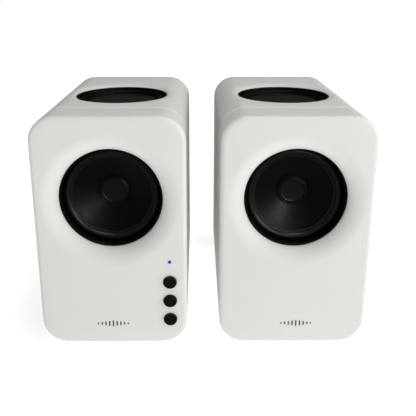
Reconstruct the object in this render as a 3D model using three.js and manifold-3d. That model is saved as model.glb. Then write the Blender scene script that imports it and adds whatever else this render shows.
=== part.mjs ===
// A pair of two-piece desktop speakers: each is a rounded box with a full-range driver in a
// bell-mouth in its front and a passive radiator in a shallower one in its top. The left one is
// the powered one, with three push buttons and a status light.
// Millimetres, +X to the right, -Y to the front, +Z up. The origin is at the bottom centre.
import * as THREE from 'three';
import { mergeVertices } from 'three/addons/utils/BufferGeometryUtils.js';
import Module from 'manifold-3d';

const wasm = await Module();
wasm.setup();

// ---- Driving dimensions. In a cabinet's frame y = 0 is its front face and z = 0 its base.

const WIDTH = 105;
const HEIGHT = 170;
const DEPTH = 168;
const CORNER_RADIUS = 18;
const EDGE_FILLET = 3;
const WALL = 2.8;
const PARTING = 27; // how far the front cover reaches back
const GAP = 0.3; // between pieces that touch
const SPACING = 128.3; // centre to centre of the two cabinets
const FOOT_HEIGHT = 2.5;

const DRIVER = { height: 110, dish: 48, opening: 36, dishDepth: 8, bossBack: 14.6 };
const RADIATOR = { depth: 87, dish: 45, opening: 36, dishDepth: 2, bossBack: 4.6 };
const SURROUND = { flange: 39, middle: 31.8, roll: 2.5, inner: 27.8, skin: 0.7 };

const CONTROL_X = 40.4;
const BUTTON = { radius: 4.75, flange: 5.75, proud: 1.2, back: 7 };
const BUTTON_HEIGHTS = { volume_up_button: 49.6, power_button: 34.7, volume_down_button: 19.8 };
const LED = { height: 65.3, radius: 1.15, flange: 1.9 };
const BUTTON_BOARD = { front: 11, back: 12.6, bottom: 8, top: 74, halfWidth: 4.6 };
const POST_HEIGHTS = [11, 71];

const REAR_RIM = 6; // from the cabinet's outside to the opening that takes the rear cover
const REAR_LIP = { width: 84, height: 149, corner: 20, front: 157, back: 162.9 };
const REAR_PLATE = { front: 163.2, back: 165.7 };
const REAR_SCREW = { x: 39.5, z: 72, hole: 1.45, clearance: 1.7 };
const MAIN_BOARD = { front: 150, back: 151.6, halfWidth: 38, bottom: 20, top: 64 };
const MAIN_POST = { x: 34, bottom: 24, top: 60 };
const SOCKETS = {
  link_socket: { x: -20, z: 42, nose: 3.4, bore: 1.8, pin: 0, body: 5 },
  audio_jack: { x: 0, z: 42, nose: 3.2, bore: 1.8, pin: 0, body: 5 },
  power_inlet: { x: 21, z: 42, nose: 4.8, bore: 3.3, pin: 1, body: 6.5 },
};
const SOCKET_BACK = 166.5;

const SEEN = 24; // segments round what shows
const INNER = 12; // segments round what is inside
const SMALL = 8; // segments round screws, posts and other small round pieces

// ---- Materials

const finish = (color, roughness, metalness = 0) =>
  new THREE.MeshStandardMaterial({ color, roughness, metalness });

const MATERIALS = {
  cabinet: finish(0xe6e7e1, 0.55),
  trim: finish(0x101012, 0.45),
  rubber: finish(0x151516, 0.7),
  paper: finish(0x26272a, 0.75),
  cap: finish(0x2b2c2f, 0.5),
  button: finish(0x121214, 0.4),
  basket: finish(0x1c1d1f, 0.5, 0.6),
  steel: finish(0xa9adb0, 0.35, 0.9),
  ferrite: finish(0x2c2c2e, 0.8),
  coil: finish(0xb8702f, 0.4, 0.8),
  spider: finish(0xc9a04a, 0.9),
  lens: finish(0x2f6bff, 0.2),
  board: finish(0x17603a, 0.6),
  cable: finish(0x1b1b1d, 0.6),
};

// ---- Solids

// The geometry with its shared vertices merged and the triangles that collapse left out.
function welded(geometry) {
  const bare = geometry.clone();
  bare.deleteAttribute('normal');
  bare.deleteAttribute('uv');
  const merged = mergeVertices(bare, 1e-4);
  const index = [];
  for (let i = 0; i < merged.index.count; i += 3) {
    const [a, b, c] = [0, 1, 2].map((k) => merged.index.getX(i + k));
    if (a !== b && b !== c && c !== a) index.push(a, b, c);
  }
  merged.setIndex(index);
  return merged;
}

function solid(geometry) {
  const merged = welded(geometry);
  return new wasm.Manifold(
    new wasm.Mesh({
      numProp: 3,
      vertProperties: new Float32Array(merged.attributes.position.array),
      triVerts: new Uint32Array(merged.index.array),
    }),
  );
}

function geometryOf(manifold) {
  const mesh = manifold.getMesh();
  const geometry = new THREE.BufferGeometry();
  geometry.setAttribute('position', new THREE.BufferAttribute(mesh.vertProperties, 3));
  geometry.setIndex(new THREE.BufferAttribute(mesh.triVerts, 1));
  return geometry;
}

function roundedRectangle(width, height, radius, bottom) {
  const right = width / 2;
  const top = bottom + height;
  const quarter = Math.PI / 2;
  const shape = new THREE.Shape();
  shape.absarc(right - radius, bottom + radius, radius, -quarter, 0);
  shape.absarc(right - radius, top - radius, radius, 0, quarter);
  shape.absarc(-right + radius, top - radius, radius, quarter, 2 * quarter);
  shape.absarc(-right + radius, bottom + radius, radius, 2 * quarter, 3 * quarter);
  return shape;
}

// A shape drawn in x and z, extruded from y = front to y = back, with its end edges rounded.
function prism(shape, front, back, fillet = 0) {
  const geometry = new THREE.ExtrudeGeometry(shape, {
    depth: back - front - 2 * fillet,
    curveSegments: 2,
    bevelEnabled: fillet > 0,
    bevelThickness: fillet,
    bevelSize: fillet,
    bevelOffset: -fillet,
    bevelSegments: 2,
  });
  geometry.rotateX(Math.PI / 2);
  geometry.translate(0, back - fillet, 0);
  return geometry;
}

// A cylinder along y.
function rod(radius, front, back, x, z, segments = SMALL) {
  const geometry = new THREE.CylinderGeometry(radius, radius, back - front, segments);
  geometry.translate(x, (front + back) / 2, z);
  return geometry;
}

function block(x, y, z) {
  const geometry = new THREE.BoxGeometry(x[1] - x[0], y[1] - y[0], z[1] - z[0]);
  geometry.translate((x[0] + x[1]) / 2, (y[0] + y[1]) / 2, (z[0] + z[1]) / 2);
  return geometry;
}

// A solid of revolution about y from a closed outline of [radius, y] points.
function turned(outline, segments) {
  const points = [...outline, outline[0]].map(([radius, y]) => new THREE.Vector2(radius, y));
  if (THREE.ShapeUtils.area(points) < 0) points.reverse();
  return new THREE.LatheGeometry(points, segments);
}

function arc(middle, radius, from, to, steps) {
  return Array.from({ length: steps + 1 }, (_, i) => {
    const angle = THREE.MathUtils.degToRad(from + ((to - from) * i) / steps);
    return [middle[0] + radius * Math.cos(angle), middle[1] + radius * Math.sin(angle)];
  });
}

// What a bell-mouth takes out of a wall whose face is at y = 0: an elliptical lip that leaves the
// face level and ends steep at the opening, and the opening itself.
function bellMouth({ dish, opening, dishDepth, bossBack }) {
  const sweep = THREE.MathUtils.degToRad(62);
  const steps = 4;
  const across = (dish - opening) / Math.sin(sweep);
  const deep = dishDepth / (1 - Math.cos(sweep));
  const lip = Array.from({ length: steps + 1 }, (_, i) => {
    const angle = (sweep * i) / steps;
    return [dish - across * Math.sin(angle), deep * (1 - Math.cos(angle))];
  });
  const past = bossBack + 1;
  return turned([[0, past], [0, -1], [dish, -1], ...lip, [opening, past]], SEEN);
}

// The wall behind a bell-mouth, which carries its opening and takes the ring that seats there.
function boss({ dish, opening, bossBack }) {
  const inside = opening - 6;
  const start = WALL / 2;
  const foot = Math.min(dish + 2.5, opening + 12.5);
  return turned([[inside, start], [foot, start], [opening + 6, bossBack], [inside, bossBack]], SEEN);
}

// ---- Cabinet

const inset = (by) =>
  roundedRectangle(WIDTH - 2 * by, HEIGHT - 2 * by, CORNER_RADIUS - by, by);
const wholeBox = () => solid(prism(inset(0), 0, DEPTH, EDGE_FILLET));
const slab = (front, back) => solid(block([-WIDTH, WIDTH], [front, back], [-WIDTH, 2 * HEIGHT]));

// Pieces turned about y go in facing the front, or laid over so that they face up.
const facingFront = (geometry) => geometry.clone().translate(0, 0, DRIVER.height);
const facingUp = (geometry) =>
  geometry.clone().rotateX(-Math.PI / 2).translate(0, RADIATOR.depth, HEIGHT);

// The tongue round the back of the cover, which goes inside the shell across the parting line.
function coverTongue() {
  const wall = 2;
  const front = PARTING - 7;
  const back = PARTING + 4;
  const hollow = solid(prism(inset(WALL + GAP + wall), front - 1, back + 1));
  const root = solid(prism(inset(WALL / 2), front, PARTING));
  const tongue = solid(prism(inset(WALL + GAP), front, back));
  return root.add(tongue).subtract(hollow);
}

function frontCover(hasControls) {
  const cavity = solid(prism(inset(WALL), WALL, PARTING + 1));
  let cover = wholeBox()
    .intersect(slab(-1, PARTING))
    .subtract(cavity.subtract(solid(facingFront(boss(DRIVER)))))
    .add(coverTongue())
    .subtract(solid(facingFront(bellMouth(DRIVER))));
  if (!hasControls) return geometryOf(cover);
  for (const height of Object.values(BUTTON_HEIGHTS))
    cover = cover.subtract(solid(rod(BUTTON.radius + GAP, -1, WALL + 1, CONTROL_X, height, INNER)));
  cover = cover.subtract(solid(rod(LED.radius + GAP, -1, WALL + 1, CONTROL_X, LED.height)));
  for (const height of POST_HEIGHTS)
    cover = cover.add(solid(rod(1.8, WALL / 2, BUTTON_BOARD.front - GAP, CONTROL_X, height)));
  return geometryOf(cover);
}

const rearScrewPlaces = {
  upper_left: [-REAR_SCREW.x, HEIGHT / 2 + REAR_SCREW.z],
  upper_right: [REAR_SCREW.x, HEIGHT / 2 + REAR_SCREW.z],
  lower_left: [-REAR_SCREW.x, HEIGHT / 2 - REAR_SCREW.z],
  lower_right: [REAR_SCREW.x, HEIGHT / 2 - REAR_SCREW.z],
};

function cabinetShell() {
  const box = wholeBox();
  const seat = solid(facingUp(boss(RADIATOR))).intersect(box);
  const { width, height, corner } = REAR_LIP;
  const throughLip = roundedRectangle(width, height, corner, (HEIGHT - height) / 2);
  let shell = box
    .intersect(slab(PARTING + GAP, DEPTH + 1))
    .subtract(solid(prism(inset(WALL), PARTING - 1, REAR_LIP.front)))
    .subtract(solid(prism(throughLip, REAR_LIP.front - 1, DEPTH)))
    .subtract(solid(prism(inset(REAR_RIM), REAR_LIP.back, DEPTH + 1)))
    .add(seat)
    .subtract(solid(facingUp(bellMouth(RADIATOR))));
  for (const [x, z] of Object.values(rearScrewPlaces))
    shell = shell.subtract(
      solid(rod(REAR_SCREW.hole, REAR_LIP.front - 1, REAR_LIP.back + 1, x, z, 8)),
    );
  return geometryOf(shell);
}

function rearCover(sockets, hasBoard) {
  const { front, back } = REAR_PLATE;
  let cover = solid(prism(inset(REAR_RIM + GAP), front, back));
  for (const [x, z] of Object.values(rearScrewPlaces))
    cover = cover.subtract(solid(rod(REAR_SCREW.clearance, front - 1, back + 1, x, z, 8)));
  for (const name of sockets) {
    const { x, z, nose } = SOCKETS[name];
    cover = cover.subtract(solid(rod(nose + GAP, front - 1, back + 1, x, z, INNER)));
  }
  if (hasBoard)
    for (const x of [-MAIN_POST.x, MAIN_POST.x])
      for (const z of [MAIN_POST.bottom, MAIN_POST.top])
        cover = cover.add(solid(rod(2.5, MAIN_BOARD.back + GAP, front + 1, x, z)));
  return geometryOf(cover);
}

// A pan-head screw whose head rests on the rear cover and whose shank reaches into the lip.
function rearScrew() {
  const under = REAR_PLATE.back + GAP;
  const head = { radius: 2.9, top: under + 1.5 };
  const shank = { radius: REAR_SCREW.hole - GAP, end: REAR_LIP.front + 0.5 };
  return turned(
    [[0, shank.end], [shank.radius, shank.end], [shank.radius, under], [head.radius, under],
      [head.radius, under + 0.7], [head.radius * 0.6, head.top], [0, head.top]],
    10,
  );
}

function footStrip() {
  const shape = roundedRectangle(64, 9, 4.4, -4.5);
  return new THREE.ExtrudeGeometry(shape, {
    depth: FOOT_HEIGHT - GAP,
    curveSegments: 3,
    bevelEnabled: false,
  });
}

// ---- Driver and radiator, about their own axis, with y = 0 at the cabinet's face

const FLANGE = 1;
const surroundLevel = ({ bossBack }) => bossBack + GAP + FLANGE + GAP;

// The black ring that lines an opening and seats behind its boss.
function trimRing({ opening, dishDepth, bossBack }) {
  const sleeve = opening - GAP;
  const inside = sleeve - 1.3;
  const seat = bossBack + GAP;
  const flange = opening + 3;
  return turned(
    [[inside, dishDepth], [sleeve, dishDepth], [sleeve, seat], [flange, seat],
      [flange, seat + FLANGE], [inside, seat + FLANGE]],
    SEEN,
  );
}

// A rubber half-roll between a flange on the frame and the moving piece's rim.
function halfRoll(level) {
  const { flange, middle, roll, inner, skin } = SURROUND;
  const inside = roll - skin;
  const under = level + skin;
  return turned(
    [[flange, under], [flange, level], ...arc([middle, level], roll, 0, -180, 4), [inner, level],
      [inner, under], [middle - inside, under], ...arc([middle, level], inside, -180, 0, 3),
      [middle + inside, under]],
    SEEN,
  );
}

const CONE = { rim: 17.2, rimRadius: 29.2, neck: 24.6, neckRadius: 10.6 };
const COIL = { inside: 10, outside: 10.3, winding: 10.9, front: 25, wound: 34.5, back: 43.5 };
const SPIDER = { level: 31, pitch: 2.4, wave: 0.9, landing: 22.8, outside: 25.5, skin: 0.6 };
const BASKET = { flange: 43, level: 17.3, floor: 36.7, ledge: 31.9, hole: 12.5 };
const TOP_PLATE = { front: 37, back: 41, hole: 11.5, radius: 27 };
const MAGNET = { front: 41.3, back: 53, hole: 14, radius: 29 };
const YOKE = { pole: 9.4, poleFront: 37.5, front: 53.3, back: 57.5, radius: 27 };

function driverCone() {
  const { rim, rimRadius, neck, neckRadius } = CONE;
  return turned(
    [[rimRadius, rim], [rimRadius, rim + 0.7], [25.6, rim + 0.9], [18, 22.6],
      [neckRadius, neck + 1], [neckRadius, neck], [18, 21.4], [25.8, rim]],
    SEEN,
  );
}

// An inverted cap: a shallow bowl with a raised rim, whose skirt stands just off the cone's neck.
function dustCap() {
  const bowl = [[0, 24.2], [5, 23.6], [8.4, 22.6]];
  const rim = [[9.3, 22], [10.3, 22.6], [10.3, 24.2]];
  const inside = [[9.6, 24.2], [9.6, 23.1], [8.4, 23.2], [5, 24.2], [0, 24.8]];
  return turned([...bowl, ...rim, ...inside], INNER);
}

function voiceCoil() {
  const { inside, outside, winding, front, wound, back } = COIL;
  return turned(
    [[inside, front], [outside, front], [outside, wound], [winding, wound], [winding, back],
      [inside, back]],
    INNER,
  );
}

function spider() {
  const { level, pitch, wave, landing, outside, skin } = SPIDER;
  const start = COIL.outside + GAP;
  const front = [[start, level]];
  for (let i = 1; start + i * pitch < landing; i++)
    front.push([start + i * pitch, level + (i % 2 ? -wave : wave)]);
  front.push([landing, level], [outside, level]);
  const back = front.map(([r, y]) => [r, y + skin]).reverse();
  return turned([...front, ...back], INNER);
}

function driverBasket() {
  const { flange, level, floor, ledge, hole } = BASKET;
  const frame = solid(
    turned(
      [[flange, level], [flange, level + 1.6], [38.5, level + 1.6], [30.5, 31.5], [28.3, floor],
        [hole, floor], [hole, floor - 1.3], [SPIDER.landing - 0.3, floor - 1.3],
        [SPIDER.landing - 0.3, ledge], [28.6, ledge], [36.3, level + 1.4], [35.5, level]],
      SEEN,
    ),
  );
  const window = { front: 21.5, back: 30.5, half: 11 };
  const depth = [window.front, window.back];
  const across = solid(block([-50, 50], depth, [-window.half, window.half]));
  const upright = solid(block([-window.half, window.half], depth, [-50, 50]));
  return geometryOf(frame.subtract(across).subtract(upright));
}

const washer = ({ front, back, hole, radius }) =>
  turned([[hole, front], [radius, front], [radius, back], [hole, back]], INNER);

function yoke() {
  const { pole, poleFront, front, back, radius } = YOKE;
  return turned(
    [[0, poleFront], [pole, poleFront], [pole, front], [radius, front], [radius, back], [0, back]],
    INNER,
  );
}

const RADIATOR_FRAME = { flange: 41.5, inside: 34.8, depth: 6 };
const PLATE = { rimRadius: 29.2, raised: 27.4, thick: 1.2 };
const WEIGHT = { radius: 14, thick: 5 };

function radiatorFrame() {
  const { flange, inside, depth } = RADIATOR_FRAME;
  const level = surroundLevel(RADIATOR) + SURROUND.skin + GAP;
  return turned(
    [[flange, level], [flange, level + 1.5], [37.5, level + 1.5], [36.5, level + depth],
      [inside, level + depth], [inside, level]],
    SEEN,
  );
}

const plateLevel = surroundLevel(RADIATOR) + SURROUND.skin + GAP;

function radiatorDiaphragm() {
  const { rimRadius, raised, thick } = PLATE;
  const face = surroundLevel(RADIATOR);
  return turned(
    [[0, face], [raised, face], [raised, plateLevel], [rimRadius, plateLevel],
      [rimRadius, plateLevel + thick], [0, plateLevel + thick]],
    SEEN,
  );
}

function radiatorWeight() {
  const front = plateLevel + PLATE.thick + GAP;
  return turned(
    [[0, front], [WEIGHT.radius, front], [WEIGHT.radius, front + WEIGHT.thick],
      [0, front + WEIGHT.thick]],
    INNER,
  );
}

// ---- Controls and electronics

function button() {
  const { radius, flange, proud, back } = BUTTON;
  const behindWall = WALL + GAP;
  return turned(
    [[0, -proud], [radius - 1, -proud + 0.1], [radius - 0.2, -proud + 0.5], [radius, -proud + 1],
      [radius, behindWall], [flange, behindWall], [flange, behindWall + 1], [2, behindWall + 1],
      [2, back], [0, back]],
    INNER,
  );
}

function ledLens() {
  const { radius, flange } = LED;
  const behindWall = WALL + GAP;
  return turned(
    [[0, -0.2], [radius - 0.3, -0.1], [radius, 0.2], [radius, behindWall], [flange, behindWall],
      [flange, BUTTON_BOARD.front - GAP], [0, BUTTON_BOARD.front - GAP]],
    SMALL,
  );
}

function buttonBoard() {
  const { front, back, bottom, top, halfWidth } = BUTTON_BOARD;
  const travelGap = 0.6;
  const half = 3;
  const sides = [CONTROL_X - halfWidth, CONTROL_X + halfWidth];
  let board = solid(block(sides, [front, back], [bottom, top]));
  for (const height of Object.values(BUTTON_HEIGHTS)) {
    const across = [CONTROL_X - half, CONTROL_X + half];
    const body = block(across, [BUTTON.back + travelGap, front + 0.5], [height - half, height + half]);
    board = board.add(solid(body));
  }
  return geometryOf(board);
}

// The amplifier board: a circuit board with a heat sink, two capacitors and a terminal block.
const TERMINAL = { x: 0, z: 54, front: 144 };

function mainBoard() {
  const { front, back, halfWidth, bottom, top } = MAIN_BOARD;
  const sunk = front + 0.5;
  const { x, z } = TERMINAL;
  return geometryOf(
    [
      block([-30, -12], [138, sunk], [46, 60]),
      block([x - 6, x + 6], [TERMINAL.front, sunk], [z - 4, z + 4]),
      rod(5, 138, sunk, 16, 54),
      rod(5, 138, sunk, 28, 54),
    ]
      .map(solid)
      .reduce((board, piece) => board.add(piece),
        solid(block([-halfWidth, halfWidth], [front, back], [bottom, top]))),
  );
}

function socket({ nose, bore, pin, body }) {
  const seat = REAR_PLATE.front - GAP;
  const front = MAIN_BOARD.back + GAP;
  const bottom = front + 4;
  let made = solid(block([-body, body], [front, seat], [-body, body]))
    .add(solid(rod(nose, seat - 1, SOCKET_BACK, 0, 0, INNER)))
    .subtract(solid(rod(bore, bottom, SOCKET_BACK + 1, 0, 0)));
  if (pin) made = made.add(solid(rod(pin, bottom - 1, SOCKET_BACK - 1, 0, 0, 8)));
  return geometryOf(made);
}

// A pair of wires in one sleeve, from the driver's terminals to where they plug in.
function driverLead(end) {
  const [x, y, z] = end;
  const path = new THREE.CatmullRomCurve3(
    [[22, 28, 83.5], [22, 40, 82], [18, 72, 66], [x + 4, 112, z + 4], [x, y - 8, z], end].map(
      (point) => new THREE.Vector3(...point),
    ),
  );
  const section = new THREE.Shape().absarc(0, 0, 1.2, 0, 2 * Math.PI);
  return new THREE.ExtrudeGeometry(section, {
    steps: 14,
    curveSegments: 3,
    bevelEnabled: false,
    extrudePath: path,
  });
}

// ---- Assembly

function speaker(side, x, sockets) {
  const powered = sockets.length > 1;
  const cabinet = new THREE.Group();
  const driver = new THREE.Group();
  const radiator = new THREE.Group();
  cabinet.position.set(x, 0, FOOT_HEIGHT);
  driver.position.z = DRIVER.height;
  radiator.position.set(0, RADIATOR.depth, HEIGHT);
  radiator.rotation.x = -Math.PI / 2;
  cabinet.add(driver, radiator);

  const put = (group, name, geometry, material, place = [0, 0, 0]) => {
    const mesh = new THREE.Mesh(welded(geometry), MATERIALS[material].clone());
    mesh.name = `${side}_${name}`;
    mesh.position.set(...place);
    group.add(mesh);
  };

  put(cabinet, 'front_cover', frontCover(powered), 'cabinet');
  put(cabinet, 'cabinet_shell', cabinetShell(), 'cabinet');
  put(cabinet, 'rear_cover', rearCover(sockets, powered), 'cabinet');
  put(cabinet, 'front_foot', footStrip(), 'rubber', [0, 17, -FOOT_HEIGHT]);
  put(cabinet, 'rear_foot', footStrip(), 'rubber', [0, 148, -FOOT_HEIGHT]);
  for (const [place, [across, up]] of Object.entries(rearScrewPlaces))
    put(cabinet, `rear_screw_${place}`, rearScrew(), 'steel', [across, 0, up]);

  put(driver, 'driver_trim_ring', trimRing(DRIVER), 'trim');
  put(driver, 'driver_surround', halfRoll(surroundLevel(DRIVER)), 'rubber');
  put(driver, 'driver_cone', driverCone(), 'paper');
  put(driver, 'driver_dust_cap', dustCap(), 'cap');
  put(driver, 'voice_coil', voiceCoil(), 'coil');
  put(driver, 'driver_spider', spider(), 'spider');
  put(driver, 'driver_basket', driverBasket(), 'basket');
  put(driver, 'magnet_top_plate', washer(TOP_PLATE), 'steel');
  put(driver, 'magnet', washer(MAGNET), 'ferrite');
  put(driver, 'yoke', yoke(), 'steel');

  put(radiator, 'radiator_trim_ring', trimRing(RADIATOR), 'trim');
  put(radiator, 'radiator_surround', halfRoll(surroundLevel(RADIATOR)), 'rubber');
  put(radiator, 'radiator_frame', radiatorFrame(), 'basket');
  put(radiator, 'radiator_diaphragm', radiatorDiaphragm(), 'paper');
  put(radiator, 'radiator_weight', radiatorWeight(), 'steel');

  for (const name of sockets) {
    const { x: across, z: up } = SOCKETS[name];
    put(cabinet, name, socket(SOCKETS[name]), 'trim', [across, 0, up]);
  }
  const { link_socket: link } = SOCKETS;
  const leadEnd = powered
    ? [TERMINAL.x, TERMINAL.front - GAP, TERMINAL.z]
    : [link.x, MAIN_BOARD.back, link.z];
  put(cabinet, 'driver_lead', driverLead(leadEnd), 'cable');
  if (!powered) return cabinet;

  for (const [name, height] of Object.entries(BUTTON_HEIGHTS))
    put(cabinet, name, button(), 'button', [CONTROL_X, 0, height]);
  put(cabinet, 'led_lens', ledLens(), 'lens', [CONTROL_X, 0, LED.height]);
  put(cabinet, 'button_board', buttonBoard(), 'board');
  put(cabinet, 'main_board', mainBoard(), 'board');
  return cabinet;
}

const speakers = new THREE.Group();
speakers.add(speaker('left', -SPACING / 2, ['link_socket', 'audio_jack', 'power_inlet']));
speakers.add(speaker('right', SPACING / 2, ['link_socket']));

const bounds = new THREE.Box3().setFromObject(speakers);
const middle = bounds.getCenter(new THREE.Vector3());
speakers.position.set(-middle.x, -middle.y, -bounds.min.z);

export default speakers;
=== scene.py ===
"""A pair of matt white desktop speakers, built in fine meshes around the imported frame.

Lengths are metres in the row's frame. A piece of one speaker is first made in that cabinet's own
frame: x from its middle, y back from its front face, z up from its base.
"""
import math

import bmesh
import bpy
import numpy as np
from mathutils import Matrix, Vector


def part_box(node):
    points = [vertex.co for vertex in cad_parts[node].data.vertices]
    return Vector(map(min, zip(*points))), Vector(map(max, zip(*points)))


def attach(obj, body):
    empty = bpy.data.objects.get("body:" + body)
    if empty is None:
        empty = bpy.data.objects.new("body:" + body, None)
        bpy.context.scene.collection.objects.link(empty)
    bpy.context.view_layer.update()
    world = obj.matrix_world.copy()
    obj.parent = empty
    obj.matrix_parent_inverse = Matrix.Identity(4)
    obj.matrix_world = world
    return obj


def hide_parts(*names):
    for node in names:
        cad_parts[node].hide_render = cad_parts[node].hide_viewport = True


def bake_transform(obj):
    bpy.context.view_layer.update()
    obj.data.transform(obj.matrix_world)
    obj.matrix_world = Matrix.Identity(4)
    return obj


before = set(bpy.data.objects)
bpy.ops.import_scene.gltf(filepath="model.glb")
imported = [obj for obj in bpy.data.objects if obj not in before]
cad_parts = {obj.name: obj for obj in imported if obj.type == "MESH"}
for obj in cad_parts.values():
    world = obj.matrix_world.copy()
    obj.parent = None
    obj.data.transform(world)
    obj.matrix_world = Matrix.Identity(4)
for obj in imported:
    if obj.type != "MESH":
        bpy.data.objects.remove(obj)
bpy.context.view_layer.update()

MM = 0.001
SIDES = ("left", "right")
ROOT = "cabinets"

# ---- Sizes shared by the pieces, in millimetres

WIDTH = 105.0
HEIGHT = 170.0
DEPTH = 168.0
CORNER = 18.0
FILLET = 3.0
CROWN = 0.8  # how far the front bows out between its sides
WALL = 2.8
PARTING = 27.0
SEAM = 0.3
FOOT_HEIGHT = 2.5

DRIVER_UP = 110.0
RADIATOR_BACK = 87.0
OPENING = 36.0
BOSS_BACK = 14.6
SEAT_DOWN = 4.6
FRONT_DISH = {"outer": 48.5, "depth": 8.0, "sweep": 66}
TOP_DISH = {"outer": 46.0, "depth": 2.0, "sweep": 62}
SURROUND = {"flange": 39.0, "middle": 31.8, "roll": 2.5, "inner": 27.8, "skin": 0.7}

CONTROL_X = 40.4
BUTTON_RADIUS = 4.75
BUTTONS = {"volume_up_button": 49.6, "power_button": 34.7, "volume_down_button": 19.8}
LED_UP = 65.3
MARK_X = {"left": -1.0, "right": 3.0}
LED_RADIUS = 1.15
REAR_RIM = 6.0
REAR_PLATE = (163.2, 165.7)
REAR_LIP = {"half_x": 42.0, "half_z": 74.5, "corner": 20.0, "front": 157.0, "back": 162.9}
REAR_SCREWS = [(x, HEIGHT / 2 + z) for x in (-39.5, 39.5) for z in (-72, 72)]
SCREW = {"shank": 1.15, "head": 2.9, "edge": 0.5, "crown": 1.25, "cross": (1.7, 0.32)}
BOARD_POSTS = [(x, z) for x in (-34, 34) for z in (24, 60)]
SOCKET_UP = 42.0
SOCKET_BACK = 166.5
SOCKETS = {
    "link_socket": {"x": -20, "nose": 3.4, "bore": 1.8, "sides": ("left", "right")},
    "audio_jack": {"x": 0, "nose": 3.2, "bore": 1.8, "sides": ("left",)},
    "power_inlet": {"x": 21, "nose": 4.8, "bore": 3.3, "sides": ("left",)},
}

# How far the holes in the front clear what stands in them, and how deep they are cut.
BUTTON_GAP = 0.22
LED_GAP = 0.15
HOLE_DEPTH = 5

# The cone's face, as (radius, depth) at its rim and at its neck, and its thickness.
CONE_RIM = (29.2, 17.0)
CONE_NECK = (10.6, 24.6)
CONE_BULGE = 0.22
CONE_THICK = 0.75

# ---- Light

WARM = (1.0, 0.985, 0.93)
SKY_SEEN = 1.0  # what the camera sees, what glossy surfaces reflect, and what lights the rest
SKY_REFLECTED = 0.05
SKY_LIGHT = 0.19
FLOOR_REACH = 6.0
FLOOR_GLOW = {"near": 0.60, "far": 1.0, "from": 0.25, "to": 1.2}  # by distance from the middle
LIGHTS = {
    "key": {"place": (1.20, -0.32, 0.52), "size": 0.35, "power": 4.5, "colour": WARM},
    "sheen": {"place": (0.62, -1.10, 0.34), "size": 0.14, "power": 1.6, "colour": WARM},
    "top": {"place": (0.25, -0.22, 1.40), "size": 0.60, "power": 7.8, "colour": (1, 1, 1)},
}

# Where each cabinet's own frame stands in the row's frame.
ORIGIN = {}
for side in SIDES:
    low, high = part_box(f"{side}_front_cover")
    ORIGIN[side] = np.array([(low.x + high.x) / 2, low.y, low.z])


# ---- Camera

CAMERA = {
    "place": (-0.0041, -0.4428, 0.2553),
    "down": 16.39,
    "turn": -0.26,
    "lens": 49.05,
    "shift": (0.0195, -0.138),
}


def make_camera():
    data = bpy.data.cameras.new("camera")
    camera = bpy.data.objects.new("camera", data)
    bpy.context.scene.collection.objects.link(camera)
    camera.location = CAMERA["place"]
    camera.rotation_euler = (math.radians(90 - CAMERA["down"]), 0, math.radians(CAMERA["turn"]))
    data.sensor_width = 36
    data.lens = CAMERA["lens"]
    data.shift_x, data.shift_y = CAMERA["shift"]
    bpy.context.scene.camera = camera


# ---- Mesh helpers

def new_object(name, points, faces, sharp=38):
    """A mesh object from points in the row's frame, smooth but for edges over the sharp angle."""
    mesh = bpy.data.meshes.new(name)
    mesh.from_pydata([tuple(p) for p in points], [], faces)
    tidy = bmesh.new()
    tidy.from_mesh(mesh)
    bmesh.ops.remove_doubles(tidy, verts=tidy.verts, dist=1e-6)
    bmesh.ops.dissolve_degenerate(tidy, edges=tidy.edges, dist=1e-7)
    bmesh.ops.recalc_face_normals(tidy, faces=tidy.faces)
    tidy.to_mesh(mesh)
    tidy.free()
    shade(mesh, sharp)
    made = bpy.data.objects.new(name, mesh)
    bpy.context.scene.collection.objects.link(made)
    return made


def shade(mesh, sharp=38):
    mesh.shade_smooth()
    mesh.set_sharp_from_angle(angle=math.radians(sharp))


def loft_faces(count, around, closed):
    """Quads between consecutive rings of as many points, the last ring back to the first if closed."""
    faces = []
    for i in range(count if closed else count - 1):
        here, there = i * around, (i + 1) % count * around
        for k in range(around):
            n = (k + 1) % around
            faces.append((here + k, here + n, there + n, there + k))
    return faces


def in_row(points, side):
    """Points in millimetres in a cabinet's frame, as metres in the row's frame."""
    return np.asarray(points, float) * MM + ORIGIN[side]


def facing_front(points):
    """Points made about the y axis, moved to the driver's axis."""
    return np.asarray(points, float) + (0, 0, DRIVER_UP)


def facing_up(points):
    """Points made about the y axis, laid over so that their front faces up, on the radiator's axis."""
    x, y, z = np.asarray(points, float).T
    return np.column_stack([x, z + RADIATOR_BACK, HEIGHT - y])


def at(x, z):
    """A placing for points made about the y axis, which moves them to an axis at x, z."""
    return lambda points: np.asarray(points, float) + (x, 0, z)


def circle(radius, y, around):
    angles = np.linspace(0, 2 * math.pi, around, endpoint=False)
    return [(radius * math.cos(a), y, radius * math.sin(a)) for a in angles]


def turned(name, side, place, profile, around=128, sharp=38):
    """A solid of revolution from a closed profile of (radius, y) points."""
    points = np.concatenate([circle(max(r, 1e-9), y, around) for r, y in profile])
    faces = loft_faces(len(profile), around, closed=True)
    return new_object(name, in_row(place(points), side), faces, sharp)


def arc(middle, radius, start, stop, steps):
    """Points (r, y) round an arc, angles in degrees."""
    angles = np.radians(np.linspace(start, stop, steps + 1))
    return [(middle[0] + radius * math.cos(a), middle[1] + radius * math.sin(a)) for a in angles]


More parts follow.
